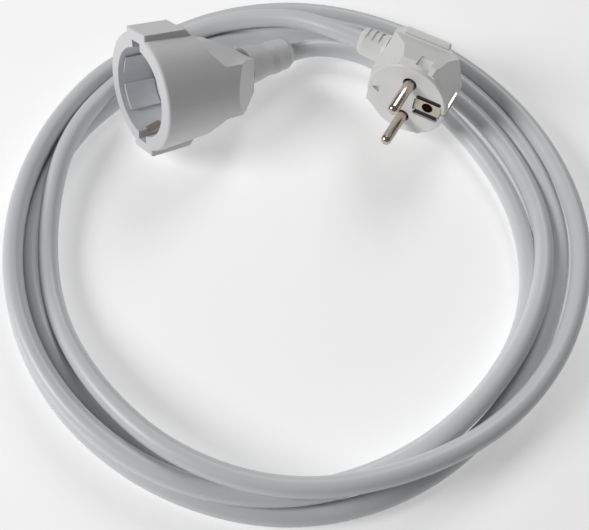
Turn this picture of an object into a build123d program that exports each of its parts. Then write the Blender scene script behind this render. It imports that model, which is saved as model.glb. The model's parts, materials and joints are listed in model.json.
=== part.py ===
from build123d import *
import os
from math import cos, pi, radians, sin, tan

# Earthed two-pin extension cord lying in a loose coil of four turns.
# Millimetres. +Z is up, the surface it lies on is z = 0, and the origin is on that
# surface, under the middle of the box round the plug and the trailing socket.

os.makedirs("parts", exist_ok=True)

# Driving dimensions
PIN_R = 2.4
PIN_ROOT_R = 1.9             # thinner where the pin is held in the bridge
PIN_LENGTH = 19.0
PIN_PITCH = 19.0
CORD_R = 4.1                # round three-core PVC cord, 3 x 1.5 mm2
CORE_R = 1.3
FERRULE_R = 2.1
SHEET = 0.8                 # thickness of the sheet-metal contacts
GAP = 0.1                   # clearance between pieces that slip into each other

PLUG_R = 18.5               # round contact face
FACE_WALL = 2.5
PLUG_DEPTH = 33.0           # from the contact face to the back
CORD_DEPTH = 24.0           # the cord leaves this far behind the contact face
PLUG_RELIEF_END = 33.0      # how far out the strain relief reaches
EARTH_X = -10.0             # the hole for the socket's earth pin
EARTH_BORE_R = 2.5
PIN_WELL_R = 3.2            # the round well each pin stands in
EARTH_SLOT_Y = 4.4          # the slots on both sides of the earth plate
EARTH_SLOT = (11.8, 2.6)    # their length and width

RECESS_R = 19.5
RECESS_DEPTH = 17.5
FLOOR_R = 18.2              # flat floor of the recess, clear of the guide pads
PAD_HEIGHT = 1.1            # how far the guide pads stand out of the recess wall
BARREL_R = 26.0
BARREL_BACK_R = 24.4        # the mould's draft
RIM_ROUND = 1.3
EAR_TOP = 27.2
EAR_HALF_WIDTH = 7.8
EAR_DEPTH = 21.5
NOTCH_HALF_WIDTH = 3.3      # the two notches that hold the earth contacts
NOTCH_TOP = 22.6
GRIP_HALF_HEIGHT = 12.0
SHELL_BACK = 53.0
BORE_END = 23.2             # step in the shell where the insert rests
CLIP_BACK = 24.7            # how deep the earth clip's cross strip lies
HOLE_R = 2.75
CORD_START = 44.4           # where the cord's sheath ends inside the socket
SOCKET_RELIEF_END = 79.4
SHUTTER_TOP = -22.3

# Where things lie: heading is measured from +X towards +Y
COIL_CENTRE = (5.5, -64.0)
COIL_R = 126.6
COIL_SHIFT = 2.3            # the far side bulges
COIL_INNER_R = 98.0
COIL_INNER_SHIFT = (-5.0, -9.0)
COIL_LOW = 8.6              # one cord high at the far side
COIL_HIGH = 22.4            # three cords stacked at the near side
PLUG_FACE = (52.3, -10.5, 27.6)
PLUG_CORD_HEADING = 153.0
PLUG_TILT = 8.0
SOCKET_MOUTH = (-62.9, -13.0, 32.05)
SOCKET_HEADING = 212.8
SOCKET_TILT = 18.0
SOCKET_ROLL = 25.0          # the socket lies turned about its own axis
CORD_BEND = (-1.9, 4.3)     # degrees that the cord is pulled aside where it leaves the socket


def heading(angle, tilt=0.0):
    flat = cos(radians(tilt))
    return Vector(cos(radians(angle)) * flat, sin(radians(angle)) * flat, sin(radians(tilt)))


PLUG = Plane(PLUG_FACE, x_dir=heading(PLUG_CORD_HEADING), z_dir=heading(PLUG_CORD_HEADING + 90, PLUG_TILT))
SOCKET = Plane(SOCKET_MOUTH, x_dir=heading(SOCKET_HEADING + 90), z_dir=heading(SOCKET_HEADING, SOCKET_TILT))
SOCKET = Plane(SOCKET.location * Rot(0, 0, SOCKET_ROLL))
# The line of the cord and its boot behind the socket: +Z towards the mouth
CORD_LINE = Pos(0, 0, -CORD_START) * Rot(CORD_BEND[1], -CORD_BEND[0], 0)


def box(x, y, z):
    """A block given by its lowest and highest x, y and z."""
    size = (x[1] - x[0], y[1] - y[0], z[1] - z[0])
    return Pos(sum(x) / 2, sum(y) / 2, sum(z) / 2) * Box(*size)


def disc(radius, low, high, x=0.0, y=0.0):
    return Pos(x, y, (low + high) / 2) * Cylinder(radius, high - low)


def tube(outer, inner, low, high, x=0.0, y=0.0):
    return disc(outer, low, high, x, y) - disc(inner, low - 1, high + 1, x, y)


def rod(start, end, radius):
    """A straight round rod between two points."""
    run = Vector(*end) - Vector(*start)
    return extrude(Plane(start, z_dir=run) * Circle(radius), amount=run.length)


def turned(profile):
    """Revolves an outline of (radius, height) points about Z."""
    return revolve(Plane.XZ * make_face(Polyline(*profile, close=True)), axis=Axis.Z)


def cord_path(points):
    """Straight runs joined by tangent arcs, each as large as its two runs allow."""
    corners = [Vector(*p) for p in points]
    radii = []
    for before, here, after in zip(corners, corners[1:], corners[2:]):
        half_turn = radians((here - before).get_angle(after - here)) / 2
        shorter = min((here - before).length, (after - here).length)
        radii.append(0.45 * shorter / tan(half_turn))
    print("arc radii", [round(r) for r in radii])
    return FilletPolyline(*corners, radius=radii)


def cord_tube(name, points):
    path = cord_path(points)
    solid = sweep(Plane(path @ 0, z_dir=path % 0) * Circle(CORD_R), path=path)
    print(name, "length", round(path.length), "volume ratio",
          round(solid.volume / (pi * CORD_R ** 2 * path.length), 4))
    return solid


nodes = {}


# ---- Plug: +Z out of the contact face, +X the way the cord leaves, pins at +Y and -Y

def plug_outline():
    """The moulded outside: a round face with a faceted grip behind it."""
    side = Polyline((-19, -1), (18.3, -1), (18.3, -18), (19.5, -31), (17, -PLUG_DEPTH),
                    (-4, -PLUG_DEPTH), (-19, -20), close=True)
    end = Polyline((-17.5, -1), (17.5, -1), (17.5, -6), (15, -16), (8.6, -28.5), (8.6, -PLUG_DEPTH),
                   (-8.6, -PLUG_DEPTH), (-8.6, -28.5), (-15, -16), (-17.5, -6), close=True)
    plan = Polyline((-18.7, 0), (-9, -17.5), (7, -17.5), (20, -8), (20, 8), (7, 17.5), (-9, 17.5),
                    close=True)
    side = extrude(Plane.XZ * make_face(side), amount=25, both=True)
    end = extrude(Plane.YZ * make_face(end), amount=30, both=True)
    plan = extrude(make_face(plan), amount=40, both=True)
    side = fillet(side.edges().filter_by(Axis.Y).filter_by_position(Axis.Z, -PLUG_DEPTH - 1, -10), 2.0)
    end = fillet(end.edges().filter_by(Axis.X).filter_by_position(Axis.Z, -27, -8), 1.2)
    grip = side & end & fillet(plan.edges().filter_by(Axis.Z), 2.0)
    lip = box((-6.5, 15.5), (-10.4, 10.4), (-PLUG_DEPTH, -PLUG_DEPTH + 2.6))
    grip += fillet(lip.edges(), 0.9)
    face = disc(PLUG_R, -3.5, 0)
    face = chamfer(face.faces().sort_by(Axis.Z)[-1].edges(), 0.6)
    return face + grip


def plug_body():
    body = plug_outline()
    body -= box((-8, 12), (-13, 13), (-16, -FACE_WALL))
    body -= box((-14, -8), (-4, 4), (-18.5, -FACE_WALL))
    body -= box((-9, 12), (-10, 10), (-20, -15.9))
    body -= box((-9, 15), (-8.5, 8.5), (-24, -16))
    body -= box((-5, 15), (-6, 6), (-28.5, -24))
    body -= rod((10, 0, -CORD_DEPTH), (25, 0, -CORD_DEPTH), CORD_R + GAP)
    for y in (-PIN_PITCH / 2, PIN_PITCH / 2):
        body -= disc(PIN_WELL_R, -5, 1, 0, y)
    body -= box((-16.4, -3.6), (-3.2, 3.2), (-5, 1))
    for y in (-EARTH_SLOT_Y, EARTH_SLOT_Y):
        body -= extrude(Pos(EARTH_X, y, -12) * SlotOverall(*EARTH_SLOT), amount=13)
    body -= box((-19, -16.4), (-0.5, 0.5), (-2.2, 1))
    body -= extrude(Pos(14, 0, -1.6) * RegularPolygon(2.4, 3), amount=3)
    for y in (-18.2, 18.2):
        body -= box((-5.5, 0.5), (y - 2.6, y + 2.6), (-12, -3))
    body -= box((-20, -17.6), (-2.3, 2.3), (-14, -1))
    body -= box((17.6, 21), (-2.3, 2.3), (-14, -1))
    return body


nodes["plug_body"] = plug_body()

bridge = box((-7.8, 9), (-12.8, 12.8), (-9, -2.7)) + box((-13.8, -7.8), (-3.8, 3.8), (-9, -2.7))
bridge -= disc(3.3, -20, 1, EARTH_X)
bridge -= box((-4.6, -3.4), (-3.2, 3.2), (-20, 1))
for y in (-PIN_PITCH / 2, PIN_PITCH / 2):
    bridge -= disc(PIN_ROOT_R, -20, 1, 0, y) + disc(PIN_WELL_R, -6.5, 1, 0, y)
for y in (-EARTH_SLOT_Y, EARTH_SLOT_Y):
    # a dark land that comes up through the slot in the face
    length, width = EARTH_SLOT
    bridge += extrude(Pos(EARTH_X, y, -3) * SlotOverall(length - 2 * GAP, width - 2 * GAP), amount=2.0)
nodes["plug_bridge"] = bridge

for name, side in (("live", -1), ("neutral", 1)):
    y = side * PIN_PITCH / 2
    pin = disc(PIN_R, 0, PIN_LENGTH, 0, y)
    pin = fillet(pin.faces().sort_by(Axis.Z)[-1].edges(), 2.2) + disc(PIN_ROOT_R, -9, 0, 0, y)
    nodes[f"plug_pin_{name}"] = pin
    nodes[f"plug_ferrule_{name}"] = tube(FERRULE_R, CORE_R, -13.5, -9, 0, y)
    nodes[f"plug_core_{name}"] = rod((0, y, -13.5), (12.5, side * 1.7, -CORD_DEPTH), CORE_R)

plate = box((-16.2, -3.8), (-3.0, 3.0), (-1.4, -1.4 + SHEET)) + box((-4.6, -3.8), (-3.0, 3.0), (-6, -1.4))
plate -= disc(EARTH_BORE_R, -3, 1, EARTH_X)
nodes["plug_earth_plate"] = fillet(plate.edges().filter_by(Axis.Y).sort_by(Axis.Z)[-2:], 0.35)
nodes["plug_earth_tube"] = tube(3.2, EARTH_BORE_R, -13, -1.4, EARTH_X)
nodes["plug_ferrule_earth"] = tube(FERRULE_R, CORE_R, -16, -13, EARTH_X)
nodes["plug_core_earth"] = rod((EARTH_X, 0, -16), (12.5, 0, -CORD_DEPTH - 1.7), CORE_R)
nodes["plug_side_contact_outer"] = box((-17.6, -17.6 + SHEET), (-2.2, 2.2), (-13.9, -1.2)).moved(
    Location((-SHEET, 0, 0)))
nodes["plug_side_contact_inner"] = box((17.6, 17.6 + SHEET), (-2.2, 2.2), (-13.9, -1.2))


def plug_relief():
    """A short boot round the cord, slotted so that it bends."""
    start, end = 18.2, PLUG_RELIEF_END
    boot = turned([(CORD_R + GAP, start), (7.7, start), (6.6, start + 3), (6.3, end - 2.2), (5.6, end - 0.6),
                   (4.8, end), (CORD_R + GAP, end)])
    for step in range(3):
        z = start + 4.4 + 3.1 * step
        for side in (-1, 1):
            boot -= box((-3.4, 3.4), tuple(sorted((side * 5.0, side * 9))), (z, z + 1.3))
    return Pos(0, 0, -CORD_DEPTH) * Rot(0, 90, 0) * boot


nodes["plug_strain_relief"] = plug_relief() - box((10, 19.6), (-20, 20), (-PLUG_DEPTH, 0))
nodes = {name: PLUG.location * shape for name, shape in nodes.items()}


# ---- Socket: +Z out of the mouth, +Y up, pin holes at +X and -X

def ear(side):
    """The flat lug above or below the barrel, with a sloped back end."""
    profile = Polyline((20, 0), (EAR_TOP, 0), (EAR_TOP - 0.6, -EAR_DEPTH + 2.2),
                       (22, -EAR_DEPTH - 2), (20, -EAR_DEPTH), close=True)
    lug = extrude(Plane.YZ * make_face(profile), amount=EAR_HALF_WIDTH, both=True)
    lug = fillet(lug.faces().sort_by(Axis.Z)[-1].edges(), RIM_ROUND / 2)
    return lug if side > 0 else Rot(0, 0, 180) * lug


def socket_grip():
    """The barrel's round cut flat above and below, and narrowed towards the cord."""
    top = [(BARREL_R, 1), (BARREL_R, -22.6), (17, -26.3), (GRIP_HALF_HEIGHT, -31),
           (GRIP_HALF_HEIGHT - 0.3, -43), (7.6, -SHELL_BACK)]
    side = Polyline(*top, *[(-y, z) for y, z in reversed(top)], close=True)
    side = extrude(Plane.YZ * make_face(side), amount=30, both=True)
    side = fillet(side.edges().filter_by(Axis.X).filter_by_position(Axis.Z, -32, -25), 3.0)
    edge = [(27, 1), (27, -20), (24.4, -35.5), (9.8, -SHELL_BACK)]
    plan = Polyline(*edge, *[(-x, z) for x, z in reversed(edge)], close=True)
    plan = extrude(Plane.XZ * make_face(plan), amount=30, both=True)
    plan = fillet(plan.edges().filter_by(Axis.Y).filter_by_position(Axis.Z, -40, -30), 2.5)
    return side & plan


def socket_shell():
    shell = turned([(0, 0), (BARREL_R, 0), (BARREL_BACK_R, -27), (BARREL_BACK_R - 0.4, -SHELL_BACK),
                    (0, -SHELL_BACK)])
    shell = fillet(shell.faces().sort_by(Axis.Z)[-1].edges(), RIM_ROUND) & socket_grip()
    shell += ear(1) + ear(-1)
    shell -= disc(RECESS_R, -BORE_END, 1)
    for side in (-1, 1):
        shell += recess_pads(side)
        shell -= box((-NOTCH_HALF_WIDTH, NOTCH_HALF_WIDTH), tuple(sorted((side * 15, side * NOTCH_TOP))),
                     (-RECESS_DEPTH, 1))
        shell -= box((-NOTCH_HALF_WIDTH, NOTCH_HALF_WIDTH), tuple(sorted((side * 12, side * 19.2))),
                     (-CLIP_BACK - 0.3, -15))
    shell -= disc(14.6, -25.5, -20)
    shell -= box((-15, 15), (-9.5, 9.5), (-43, -20))
    shell -= CORD_LINE * disc(6.5, -10, 5)
    return shell


def recess_pads(side):
    """Two raised guide pads on the recess wall, with the plug's guide slot between them."""
    ring = tube(RECESS_R + 0.2, RECESS_R - PAD_HEIGHT, -RECESS_DEPTH + 0.4, -2.5)
    pads = ring & box(tuple(sorted((side * 8, side * 25))), (2.6, 10.5), (-30, 0))
    pads += ring & box(tuple(sorted((side * 8, side * 25))), (-13, -2.6), (-30, 0))
    return pads


nodes_socket = {"socket_shell": socket_shell()}

insert = disc(RECESS_R - GAP, -22, -RECESS_DEPTH - 0.8) + tube(RECESS_R - GAP, 17.4, -BORE_END, -22)
insert += disc(FLOOR_R, -20, -RECESS_DEPTH)
insert += disc(1.5, -24.8, -22)
for x in (-PIN_PITCH / 2, PIN_PITCH / 2):
    insert -= disc(HOLE_R, -30, 0, x)
    insert -= Pos(x, 0, -RECESS_DEPTH) * Cone(HOLE_R, HOLE_R + 0.8, 1.6)
for side in (-1, 1):
    insert -= box((-NOTCH_HALF_WIDTH, NOTCH_HALF_WIDTH), tuple(sorted((side * 15.5, side * 21))), (-31, 0))
nodes_socket["socket_insert"] = insert

shutter = extrude(Pos(0, 0, SHUTTER_TOP - 1.3) * SlotOverall(27, 7.6), amount=1.3)
shutter += disc(4.2, SHUTTER_TOP - 1.3, SHUTTER_TOP)
shutter -= disc(1.56, -30, -20)
nodes_socket["socket_shutter"] = shutter
nodes_socket["socket_shutter_spring"] = tube(2.9, 1.9, SHUTTER_TOP - 2.3, SHUTTER_TOP - 1.5)

carrier = box((-14.6, 14.6), (-7, 7), (-32.5, -27.5)) - box((-3, 3), (-8, 2), (-40, -20))
for name, side in (("live", -1), ("neutral", 1)):
    x = side * PIN_PITCH / 2
    carrier -= disc(4.3, -40, -20, x)
    contact = tube(4.2, PIN_R + 0.1, -34, -24.6, x)
    contact -= box((x - 0.5, x + 0.5), (-6, 6), (-31, -20))
    nodes_socket[f"socket_contact_{name}"] = contact
    nodes_socket[f"socket_ferrule_{name}"] = tube(FERRULE_R, CORE_R, -38, -34, x)
    nodes_socket[f"socket_core_{name}"] = rod((x, 0, -38), (side * 1.7, 0, -44.2), CORE_R)
nodes_socket["socket_carrier"] = carrier


def earth_finger(side):
    """A sprung finger that bows into the recess."""
    line = [(18.0, -CLIP_BACK), (18.0, -16), (15.9, -9.5), (17.6, -3.5)]
    back = [(y + SHEET, z) for y, z in reversed(line)]
    finger = extrude(Plane.YZ * make_face(Polyline(*line, *back, close=True)), amount=2.9, both=True)
    return finger if side > 0 else Rot(0, 0, 180) * finger


clip = box((-2.9, 2.9), (-18.8, 18.8), (-CLIP_BACK, -CLIP_BACK + SHEET))
clip += disc(5, -CLIP_BACK, -CLIP_BACK + SHEET)
clip -= disc(3.2, -30, -20)
nodes_socket["socket_earth_clip"] = clip + earth_finger(1) + earth_finger(-1)
nodes_socket["socket_ferrule_earth"] = tube(FERRULE_R, CORE_R, -CLIP_BACK - 4, -CLIP_BACK, 0, -5.5)
nodes_socket["socket_core_earth"] = rod((0, -5.5, -CLIP_BACK - 4), (0, -1.9, -44.2), CORE_R)


def socket_relief():
    """A soft boot on the cord's own line, with a neck and a fold near its end."""
    # (radius, distance behind the mouth)
    outline = [(CORD_R + GAP, 46), (6.4, 46), (6.4, SHELL_BACK + 0.9), (8.9, SHELL_BACK + 0.9),
               (8.3, 60), (7.3, 66), (7.8, 69.5), (7.4, 73), (7.3, 76.5),
               (5.8, SOCKET_RELIEF_END), (CORD_R + GAP, SOCKET_RELIEF_END)]
    return CORD_LINE * turned([(radius, CORD_START - behind) for radius, behind in outline])


nodes_socket["socket_strain_relief"] = socket_relief()
nodes |= {name: SOCKET.location * shape for name, shape in nodes_socket.items()}


# ---- Cord: one tube from each end, and the coil between them as one ring

def on_plug(x, y, z):
    return tuple(PLUG.from_local_coords(Vector(x, y, z)))


def behind_socket(distance):
    """A point of the cord's line, that far behind the socket's mouth."""
    place = SOCKET.location * CORD_LINE * Pos(0, 0, CORD_START - distance)
    return tuple(place.position)


def on_coil(x, y, z):
    return (COIL_CENTRE[0] + x, COIL_CENTRE[1] + y, z)


PLUG_LEAD = [on_plug(13, 0, -CORD_DEPTH), on_plug(41, 0, -CORD_DEPTH), on_coil(-1, 105.2, 20.5),
             on_coil(-23, 109.3, 15.5), on_coil(-45, 107.8, 10.5), on_coil(-65, 98.5, 7.5),
             on_coil(-81, 82.5, 7)]
SOCKET_LEAD = [behind_socket(CORD_START), behind_socket(86), on_coil(15.3, 100.5, 5.8),
               on_coil(31.2, 97, 4.6), on_coil(46, 88, 4.2), on_coil(60.5, 75.2, 4.2)]
print("plug lead", [tuple(round(c, 1) for c in p) for p in PLUG_LEAD])
print("socket lead", [tuple(round(c, 1) for c in p) for p in SOCKET_LEAD])
nodes["cord_plug_end"] = cord_tube("cord_plug_end", PLUG_LEAD)
nodes["cord_socket_end"] = cord_tube("cord_socket_end", SOCKET_LEAD)


def cord_coil():
    """The outer shape of the lying turns, rising to three cords high at the near side."""
    ring = disc(COIL_R, 0, 30, 0, COIL_SHIFT) - disc(COIL_INNER_R, -1, 31, *COIL_INNER_SHIFT)
    level = Polyline((-140, 0), (140, 0), (140, COIL_LOW), (15, COIL_LOW), (-60, 18), (-90, COIL_HIGH),
                     (-140, COIL_HIGH), close=True)
    ring &= extrude(Plane.YZ * make_face(level), amount=140, both=True)
    ring = Pos(*COIL_CENTRE) * ring
    barrel = turned([(0, 5), (29.5, 5), (29.5, -24), (26, -24), (26, -37), (14, -54), (12.5, -81), (0, -81)])
    ring -= SOCKET.location * barrel
    ring -= PLUG.location * (disc(PLUG_R + 1, -PLUG_DEPTH - 1, 1))
    return ring


nodes["cord_coil"] = cord_coil()


def bounds(prefix):
    return Compound([shape for name, shape in nodes.items() if name.startswith(prefix)]).bounding_box()


for prefix in ("plug_", "socket_"):
    print(prefix, bounds(prefix))
for name, shape in nodes.items():
    solid = shape.solids()
    export_step(Compound(solid) if len(solid) > 1 else solid[0], f"parts/{name}.step")
print(len(nodes), "nodes written")
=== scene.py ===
# %% [markdown]
# An earthed extension cord, lying as it was taken out of its bag: four loose turns of
# white cord, a right-angle plug at one end and a round trailing socket at the other.
# The frame holds every solid piece at its true size and place. Blender adds what it is
# good at: one smooth cord in four turns, and a finish for every surface.

# %% Load the frame
import json
import bmesh
import bpy
from math import cos, pi, radians, sin
from mathutils import Matrix, Vector


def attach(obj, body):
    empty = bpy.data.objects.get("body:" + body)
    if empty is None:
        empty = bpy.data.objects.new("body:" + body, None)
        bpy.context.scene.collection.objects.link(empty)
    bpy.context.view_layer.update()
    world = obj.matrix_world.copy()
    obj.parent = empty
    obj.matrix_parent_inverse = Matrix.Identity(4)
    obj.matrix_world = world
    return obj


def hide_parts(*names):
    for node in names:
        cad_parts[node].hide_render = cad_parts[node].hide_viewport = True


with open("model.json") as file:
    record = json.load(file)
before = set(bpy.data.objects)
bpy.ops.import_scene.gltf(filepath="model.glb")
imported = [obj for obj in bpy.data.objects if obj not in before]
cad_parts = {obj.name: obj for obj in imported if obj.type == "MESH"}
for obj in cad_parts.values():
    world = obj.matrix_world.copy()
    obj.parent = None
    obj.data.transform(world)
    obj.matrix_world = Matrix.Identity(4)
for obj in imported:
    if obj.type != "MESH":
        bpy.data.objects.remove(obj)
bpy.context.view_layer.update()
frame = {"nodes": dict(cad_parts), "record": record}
MM = 0.001
BODY = "cord_set"

# %% [markdown]
# The camera comes first, because every later choice is judged through it. It looks
# down at the coil from about 63 degrees, close enough for the near turns to look
# thicker than the far ones. A camera is placed by a matrix: its place, then its tilt
# from straight down, then a slight roll about its own line of sight.

# %% Camera
CAMERA_PLACE = Vector((5.4, -253.3, 346.7)) * MM
CAMERA_TILT = radians(26.8)
CAMERA_ROLL = radians(1.2)
LENS_MM = 55.3

camera = bpy.data.objects.new("camera", bpy.data.cameras.new("camera"))
camera.data.lens = LENS_MM
camera.data.clip_start = 0.01
camera.matrix_world = (Matrix.Translation(CAMERA_PLACE) @ Matrix.Rotation(CAMERA_TILT, 4, "X")
                       @ Matrix.Rotation(CAMERA_ROLL, 4, "Z"))
bpy.context.collection.objects.link(camera)
bpy.context.scene.camera = camera
print("camera stands", round(CAMERA_PLACE.z / MM), "mm above the floor")

# %% [markdown]
# The cord is a round three-core PVC cord. It leaves the plug about 24 mm up, climbs
# down over the turns that already lie there, goes round four times, and rises into the
# socket's boot. A cord in Blender is a curve with a round bevel. The route's points
# are the control points of one NURBS spline, which bends as evenly as a real cord.

# %% Where the plug and the socket stand
PLUG_FACE = Vector((52.3, -10.5, 27.6)) * MM
PLUG_CORD_HEADING, PLUG_TILT = 153.0, 8.0
SOCKET_MOUTH = Vector((-62.9, -13.0, 32.05)) * MM
SOCKET_HEADING, SOCKET_TILT, SOCKET_ROLL = 212.8, 18.0, 25.0
CORD_START = 44.4           # where the sheath ends inside the socket, behind its mouth
CORD_BEND = (-1.9, 4.3)     # degrees that the cord is pulled aside there


def heading(angle, tilt=0.0):
    flat = cos(radians(tilt))
    return Vector((cos(radians(angle)) * flat, sin(radians(angle)) * flat, sin(radians(tilt))))


def placed(origin, x_axis, z_axis):
    """The matrix that takes a piece's own millimetres to its place."""
    axes = Matrix((x_axis, z_axis.cross(x_axis), z_axis)).transposed().to_4x4()
    return Matrix.Translation(origin) @ axes @ Matrix.Scale(MM, 4)


PLUG = placed(PLUG_FACE, heading(PLUG_CORD_HEADING), heading(PLUG_CORD_HEADING + 90, PLUG_TILT))
SOCKET = placed(SOCKET_MOUTH, heading(SOCKET_HEADING + 90), heading(SOCKET_HEADING, SOCKET_TILT))
SOCKET = SOCKET @ Matrix.Rotation(radians(SOCKET_ROLL), 4, "Z")
# The line of the cord and its boot behind the socket, with +Z towards the mouth
SOCKET_CORD = (SOCKET @ Matrix.Translation((0, 0, -CORD_START))
               @ Matrix.Rotation(radians(CORD_BEND[1]), 4, "X")
               @ Matrix.Rotation(radians(-CORD_BEND[0]), 4, "Y"))

# %% The two ends of the route
CORD_R = 4.1 * MM
CORD_DEPTH = 24.0           # the cord leaves this far behind the plug's contact face
COIL_CENTRE = Vector((5.5, -64.0, 0)) * MM


def on_coil(x, y, z):
    return COIL_CENTRE + Vector((x, y, z)) * MM


def on(place, x, y, z):
    return place @ Vector((x, y, z))


PLUG_LEAD = [on(PLUG, 13, 0, -CORD_DEPTH), on(PLUG, 41, 0, -CORD_DEPTH), on_coil(-1, 105.2, 20.5),
             on_coil(-23, 109.3, 15.5), on_coil(-45, 107.8, 10.5), on_coil(-65, 98.5, 7.5),
             on_coil(-81, 82.5, 7)]
SOCKET_LEAD = [on(SOCKET_CORD, 0, 0, 0), on(SOCKET_CORD, 0, 0, CORD_START - 86),
               on_coil(15.3, 100.5, 5.8), on_coil(31.2, 97, 4.6), on_coil(46, 88, 4.2),
               on_coil(60.5, 75.2, 4.2)]
print("socket lead, mm:", [tuple(round(c / MM, 1) for c in point) for point in SOCKET_LEAD])

# %% [markdown]
# Nothing ties the turns, so no two are alike. Each turn is given by how far it lies
# from the middle and how high it lies at sixteen stations, 22.5 degrees apart. At the
# near side the turns are stacked three high, and at the far side they lie flat. The
# spline cuts a little inside its control points, so they stand a little outside.

# %% The four turns
STATIONS = 16
STEP = 2 * pi / STATIONS
FIRST_ANGLE = 3 * pi / 4
FLOOR = 4.2                 # height of the cord's centre where it lies on the floor
# (distance from the middle, height of the cord's centre), in millimetres
TURNS = [
    [(114, 7), (109.5, 12), (105.5, 5.5), (105.2, 5.5), (105.3, 12.5), (110, 17.5), (113.8, 18.6),
     (114.5, 18.6), (118, 14), (120.4, 10.5), (121.2, 9.8), (118.8, 8.5), (119.3, 5.5), (121.5, FLOOR),
     (124.4, FLOOR), (124.4, FLOOR)],
    [(121.5, FLOOR), (120.8, FLOOR), (120.4, FLOOR), (120.4, FLOOR), (120.4, FLOOR), (120.8, FLOOR),
     (121.4, FLOOR), (118.5, FLOOR), (113.6, FLOOR), (111.9, FLOOR), (114, FLOOR), (112.2, FLOOR),
     (111.4, FLOOR), (114.5, FLOOR), (116.3, FLOOR), (117.5, FLOOR)],
    [(119.5, 11.5), (118.3, 12.3), (118.3, 12.3), (119, 12.3), (118.8, 12.3), (118.4, 11.8), (115.3, 11),
     (110.3, 12), (105.6, 12), (105, 12), (106.3, 7.5), (104.5, 4.6), (103.6, FLOOR), (106, FLOOR),
     (108.2, FLOOR), (109.8, FLOOR)],
    [(106.5, FLOOR), (112.4, FLOOR), (112.8, 4.6), (112.6, FLOOR), (112, FLOOR), (112.2, FLOOR),
     (112.5, FLOOR), (107.5, FLOOR), (104.5, FLOOR), (103.6, FLOOR), (98.5, FLOOR), (93.8, FLOOR)],
]


def turn_points(turns):
    points = []
    for number, turn in enumerate(turns):
        for station, (distance, height) in enumerate(turn):
            if number == 0 and station == 0:
                continue                # the lead from the plug already ends here
            angle = FIRST_ANGLE + STEP * station
            reach = distance / cos(STEP / 2)
            points.append(on_coil(reach * cos(angle), reach * sin(angle), height))
    return points


route = PLUG_LEAD + turn_points(TURNS) + SOCKET_LEAD[::-1]
print("route has", len(route), "points")

# %% [markdown]
# The spline's order is set after its points are there. Order 3 gives a smooth line
# that stays close to its points, and the end points hold it inside the two boots.

# %% The cord
curve = bpy.data.curves.new("cord", "CURVE")
curve.dimensions = "3D"
curve.bevel_depth = 1.0
curve.bevel_resolution = 7
curve.use_fill_caps = True
curve.resolution_u = 10
spline = curve.splines.new("NURBS")
spline.points.add(len(route) - 1)
for point, place in zip(spline.points, route):
    point.co = (*place, 1)
    point.radius = CORD_R
spline.order_u = 3
spline.use_endpoint_u = True
spline.use_smooth = True
cord = bpy.data.objects.new("cord", curve)
bpy.context.collection.objects.link(cord)
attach(cord, BODY)
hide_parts("cord_plug_end", "cord_coil", "cord_socket_end")


def line_length(piece):
    """Follows the curve's own line, with no bevel, and adds up its length."""
    bevel = piece.data.bevel_depth
    piece.data.bevel_depth = 0
    line = bpy.data.meshes.new_from_object(piece)
    piece.data.bevel_depth = bevel
    places = [v.co.copy() for v in line.vertices]
    bpy.data.meshes.remove(line)
    return sum((b - a).length for a, b in zip(places, places[1:]))


CORD_LENGTH = line_length(cord)
print("cord is", round(CORD_LENGTH, 3), "m long")

# %% [markdown]
# A plain pale floor and soft studio light. A large soft key stands to the left and a
# little in front, so that faces turned left are bright and faces turned right fall to
# a middle grey. A second one behind lights the tops of the grips and of the turns.

# %% Floor
FLOOR_HALF = 3.0            # metres
FLOOR_DROP = 0.0005         # a hair under the cord, so that they don't share a plane
FLOOR_GLOW = 0.3
WHITE = (1, 1, 1, 1)


def floor_material():
    material = bpy.data.materials.new("pale_floor")
    material.use_nodes = True
    inputs = material.node_tree.nodes["Principled BSDF"].inputs
    inputs["Base Color"].default_value = (0.9, 0.9, 0.9, 1)
    inputs["Roughness"].default_value = 0.8
    inputs["Emission Color"].default_value = WHITE
    inputs["Emission Strength"].default_value = FLOOR_GLOW
    return material


floor_mesh = bpy.data.meshes.new("floor")
shape = bmesh.new()
bmesh.ops.create_grid(shape, x_segments=1, y_segments=1, size=FLOOR_HALF)
shape.to_mesh(floor_mesh)
shape.free()
floor = bpy.data.objects.new("floor", floor_mesh)
floor.location.z = -FLOOR_DROP
floor_mesh.materials.append(floor_material())
bpy.context.collection.objects.link(floor)
print("floor is", 2 * FLOOR_HALF, "m wide")

# %% Light
# name: (place, point it looks at, diameter in metres, watts)
LIGHTS = {
    "key": (Vector((-1.1, -0.3, 0.75)), Vector((0, -0.05, 0)), 0.6, 10),
    "back": (Vector((0.35, 1.0, 0.95)), Vector((0, 0, 0)), 0.7, 6),
}
SKY_STRENGTH = 0.13


def soft_light(name, place, aim, size, watts):
    lamp = bpy.data.lights.new(name, "AREA")
    lamp.shape = "DISK"
    lamp.size = size
    lamp.energy = watts
    light = bpy.data.objects.new(name, lamp)
    facing = (place - aim).to_track_quat("Z", "Y").to_matrix().to_4x4()
    light.matrix_world = Matrix.Translation(place) @ facing
    bpy.context.collection.objects.link(light)


for name, settings in LIGHTS.items():
    soft_light(name, *settings)
world = bpy.data.worlds.new("studio")
world.use_nodes = True
sky = world.node_tree.nodes["Background"].inputs
sky["Color"].default_value = WHITE
sky["Strength"].default_value = SKY_STRENGTH
bpy.context.scene.world = world
bpy.context.scene.view_settings.view_transform = "Standard"
print(len(LIGHTS), "lights")

# %% [markdown]
# Moulded PVC is never perfectly even. Three effects make it read as a real surface: a
# fine grain left by the mould, a slow drift in tone, and faint rub marks where it has
# been dragged. Every material wants all three, so they are one node group with its
# own inputs, and only a colour, a roughness and a height come out of it.

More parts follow.
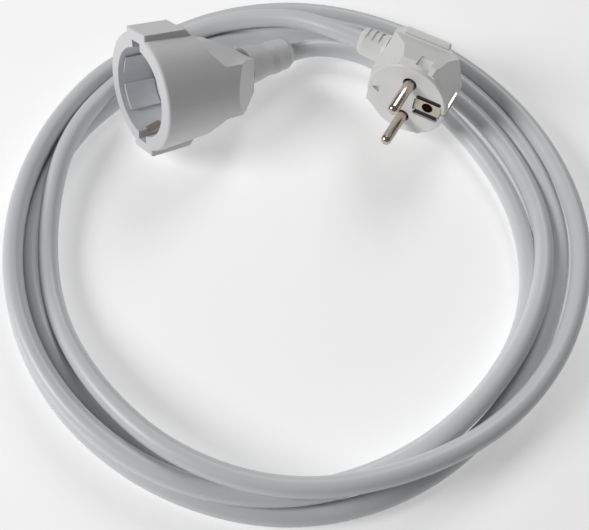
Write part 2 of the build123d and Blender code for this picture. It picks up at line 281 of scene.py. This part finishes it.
# %% Helpers for node groups
def new_group(name, inputs, outputs):
    group = bpy.data.node_groups.new(name, "ShaderNodeTree")
    for label, kind, value in inputs:
        socket = group.interface.new_socket(label, in_out="INPUT", socket_type=kind)
        socket.default_value = value
    for label, kind in outputs:
        group.interface.new_socket(label, in_out="OUTPUT", socket_type=kind)
    return group, group.nodes.new("NodeGroupInput"), group.nodes.new("NodeGroupOutput")


def add(tree, kind, values=None, **settings):
    """Adds a node, sets its properties and the values of its unlinked inputs."""
    node = tree.nodes.new(kind)
    for key, value in settings.items():
        setattr(node, key, value)
    for key, value in (values or {}).items():
        node.inputs[key].default_value = value
    return node


FLOAT, COLOUR = "NodeSocketFloat", "NodeSocketColor"

# %% Grain and tone
def make_grain_group():
    group, start, end = new_group(
        "moulded_grain",
        [("Colour", COLOUR, (0.8, 0.8, 0.8, 1)), ("Grain size", FLOAT, 2200.0), ("Tone", FLOAT, 0.03),
         ("Roughness", FLOAT, 0.4), ("Rub", FLOAT, 0.08)],
        [("Colour", COLOUR), ("Roughness", FLOAT), ("Height", FLOAT)])
    link = group.links.new
    place = add(group, "ShaderNodeTexCoord")
    grain = add(group, "ShaderNodeTexNoise", {"Detail": 2.0, "Roughness": 0.6})
    link(place.outputs["Object"], grain.inputs["Vector"])
    link(start.outputs["Grain size"], grain.inputs["Scale"])
    drift = add(group, "ShaderNodeTexNoise", {"Scale": 38.0, "Detail": 3.0})
    link(place.outputs["Object"], drift.inputs["Vector"])
    rub = add(group, "ShaderNodeTexNoise",
              {"Scale": 160.0, "Detail": 6.0, "Roughness": 0.7, "Distortion": 1.2})
    link(place.outputs["Object"], rub.inputs["Vector"])
    patch = add(group, "ShaderNodeMapRange", {"From Min": 0.56, "From Max": 0.75})
    link(rub.outputs["Fac"], patch.inputs["Value"])
    centred = add(group, "ShaderNodeMath", {1: 0.5}, operation="SUBTRACT")
    link(drift.outputs["Fac"], centred.inputs[0])
    swing = add(group, "ShaderNodeMath", operation="MULTIPLY")
    link(centred.outputs[0], swing.inputs[0])
    link(start.outputs["Tone"], swing.inputs[1])
    bright = add(group, "ShaderNodeMath", {1: 1.0}, operation="ADD")
    link(swing.outputs[0], bright.inputs[0])
    tinted = add(group, "ShaderNodeVectorMath", operation="SCALE")
    link(start.outputs["Colour"], tinted.inputs[0])
    link(bright.outputs[0], tinted.inputs["Scale"])
    link(tinted.outputs[0], end.inputs["Colour"])
    rubbed = add(group, "ShaderNodeMath", operation="MULTIPLY_ADD")
    link(patch.outputs[0], rubbed.inputs[0])
    link(start.outputs["Rub"], rubbed.inputs[1])
    link(start.outputs["Roughness"], rubbed.inputs[2])
    link(rubbed.outputs[0], end.inputs["Roughness"])
    link(grain.outputs["Fac"], end.inputs["Height"])
    return group


grain_group = make_grain_group()
GRAIN_DEPTH = 0.1 * MM
print("grain group has", len(grain_group.nodes), "nodes")


def grained(name, colour, roughness, grain_size, bump, tone=0.04, rub=0.08, metallic=0.0):
    """A finish whose colour, gloss and relief all come from the grain group."""
    material = bpy.data.materials.new(name)
    material.use_nodes = True
    tree = material.node_tree
    shader = tree.nodes["Principled BSDF"]
    shader.inputs["Metallic"].default_value = metallic
    group = add(tree, "ShaderNodeGroup", node_tree=grain_group)
    values = {"Colour": (*colour, 1), "Grain size": grain_size, "Tone": tone,
              "Roughness": roughness, "Rub": rub}
    for label, value in values.items():
        group.inputs[label].default_value = value
    tree.links.new(group.outputs["Colour"], shader.inputs["Base Color"])
    tree.links.new(group.outputs["Roughness"], shader.inputs["Roughness"])
    relief = add(tree, "ShaderNodeBump", {"Strength": bump, "Distance": GRAIN_DEPTH})
    tree.links.new(group.outputs["Height"], relief.inputs["Height"])
    tree.links.new(relief.outputs["Normal"], shader.inputs["Normal"])
    return material


# %% [markdown]
# The plug is moulded in a soft, slightly glossy white PVC, the socket's shell in a
# harder, flatter one, and the cord's sheath is extruded, so it is the smoothest of
# the three. The bridge that shows in the slots of the plug's face is coloured near-black
# as painted shade, so that the deep gaps there read dark. Nickel plating keeps a warm
# tint from the brass under it.

# %% Finishes
FINISHES = {
    "plug_white": grained("plug_white", (0.80, 0.80, 0.79), 0.42, 2600, 0.25),
    "socket_white": grained("socket_white", (0.72, 0.72, 0.73), 0.5, 2200, 0.35),
    "socket_inner": grained("socket_inner", (0.80, 0.84, 0.92), 0.4, 2600, 0.2),
    "inner_plastic": grained("inner_plastic", (0.70, 0.70, 0.67), 0.5, 1800, 0.3),
    "cord_white": grained("cord_white", (0.70, 0.71, 0.72), 0.36, 1500, 0.15, tone=0.06),
    "nickel": grained("nickel", (0.62, 0.55, 0.48), 0.24, 3000, 0.12, tone=0.2, rub=0.2, metallic=1.0),
    # painted shade: the bridge's near-black stands for the shade in the deep gaps of the plug's face
    "bridge_black": grained("bridge_black", (0.02, 0.02, 0.022), 0.45, 2000, 0.3),
    "brass": grained("brass", (0.78, 0.58, 0.28), 0.3, 2500, 0.2, tone=0.2, rub=0.2, metallic=1.0),
    "copper_crimp": grained("copper_crimp", (0.70, 0.66, 0.60), 0.35, 2500, 0.2, tone=0.2, metallic=1.0),
    "spring_steel": grained("spring_steel", (0.55, 0.55, 0.55), 0.3, 2500, 0.2, metallic=1.0),
    "core_brown": grained("core_brown", (0.16, 0.07, 0.03), 0.4, 1800, 0.2),
    "core_blue": grained("core_blue", (0.05, 0.16, 0.45), 0.4, 1800, 0.2),
    "core_green_yellow": grained("core_green_yellow", (0.45, 0.52, 0.06), 0.4, 1800, 0.2),
}
slot_of = {row["node"]: row["material_slot"] for row in frame["record"]["subparts"]}
for name, node in frame["nodes"].items():
    node.data.materials.clear()
    node.data.materials.append(FINISHES[slot_of[name]])
cord.data.materials.append(FINISHES["cord_white"])
print(len(FINISHES), "finishes on", len(slot_of), "nodes")
